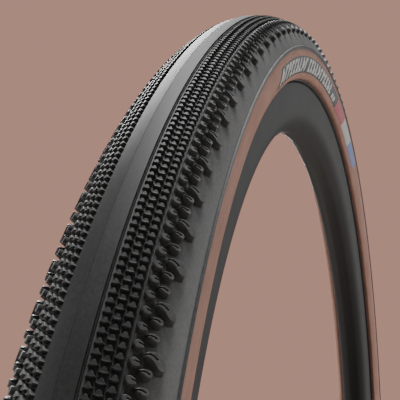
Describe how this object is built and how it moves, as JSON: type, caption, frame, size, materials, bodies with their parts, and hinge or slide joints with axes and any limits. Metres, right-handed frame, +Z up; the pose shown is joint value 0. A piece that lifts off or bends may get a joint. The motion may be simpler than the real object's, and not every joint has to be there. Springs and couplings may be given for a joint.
{
  "type": "bicycle tire",
  "caption": "Inflated gravel bicycle tire with a smooth centre tread, knobbed shoulders and tan sidewalls, on a bare deep rim with its tubeless valve.",
  "frame": {"origin": "centre of the wheel, on the axle line", "axes": "+Y along the axle, +Z up, the wheel stands in the XZ plane and its valve is at the lowest point"},
  "size_m": [0.716, 0.0496, 0.716],
  "materials": {
    "tread_rubber": "matte moulded rubber, dark grey",
    "base_rubber": "matte moulded rubber",
    "tan_rubber": "matte reddish brown rubberised casing",
    "casing_cord": "rubberised nylon cord",
    "breaker_weave": "woven aramid",
    "butyl_liner": "smooth butyl",
    "chafer_weave": "rubberised square weave",
    "bead_aramid": "aramid cord bundle",
    "label_ink": "heat transfer film",
    "rim_coating": "matte black coat on moulded carbon composite",
    "tape_film": "smooth adhesive film",
    "black_alloy": "black anodised",
    "valve_brass": "nickelled brass",
    "seal_rubber": "moulded rubber"
  },
  "bodies": {
    "wheel": {"inner_liner": "butyl_liner", "casing_inner_ply": "casing_cord", "casing_outer_ply": "casing_cord", "puncture_breaker": "breaker_weave", "tread_base": "base_rubber", "tread_centre": "tread_rubber", "tread_shoulder_left": "tread_rubber", "tread_shoulder_right": "tread_rubber", "sidewall_left": "tan_rubber", "sidewall_right": "tan_rubber", "bead_chafer_left": "chafer_weave", "bead_chafer_right": "chafer_weave", "bead_core_left": "bead_aramid", "bead_core_right": "bead_aramid", "bead_filler_left": "seal_rubber", "bead_filler_right": "seal_rubber", "label_top_left": "label_ink", "label_top_right": "label_ink", "label_bottom_left": "label_ink", "label_bottom_right": "label_ink", "rim": "rim_coating", "rim_tape": "tape_film", "valve_foot_seal": "seal_rubber", "valve_stem": "black_alloy", "valve_core_body": "valve_brass"},
    "rim_nut_seal": {"valve_o_ring": "seal_rubber"},
    "rim_nut": {"valve_rim_nut": "black_alloy"},
    "valve_cap": {"valve_cap": "black_alloy"},
    "valve_pin": {"valve_pin": "valve_brass", "valve_core_gasket": "seal_rubber"},
    "lock_nut": {"valve_lock_nut": "valve_brass"}
  },
  "joints": [
    {"name": "rim_nut_travel", "type": "slide", "parent": "wheel", "child": "rim_nut_seal", "axis": [0, 0, 1], "range_m": [0, 0.0055]},
    {"name": "rim_nut_turn", "type": "hinge", "parent": "rim_nut_seal", "child": "rim_nut", "pos_m": [0, 0, -0.28], "axis": [0, 0, 1], "range_deg": [0, 2480]},
    {"name": "cap_pull", "type": "slide", "parent": "wheel", "child": "valve_cap", "axis": [0, 0, 1], "range_m": [0, 0.022]},
    {"name": "pin_press", "type": "slide", "parent": "wheel", "child": "valve_pin", "axis": [0, 0, 1], "range_m": [-0.0025, 0], "stiffness_N_per_m": 60},
    {"name": "lock_nut_travel", "type": "slide", "parent": "wheel", "child": "lock_nut", "axis": [0, 0, 1], "range_m": [0, 0.0026]}
  ],
  "couplings": [
    {"joint": "rim_nut_turn", "follows": "rim_nut_travel", "rad_per_m": 7854}
  ]
}
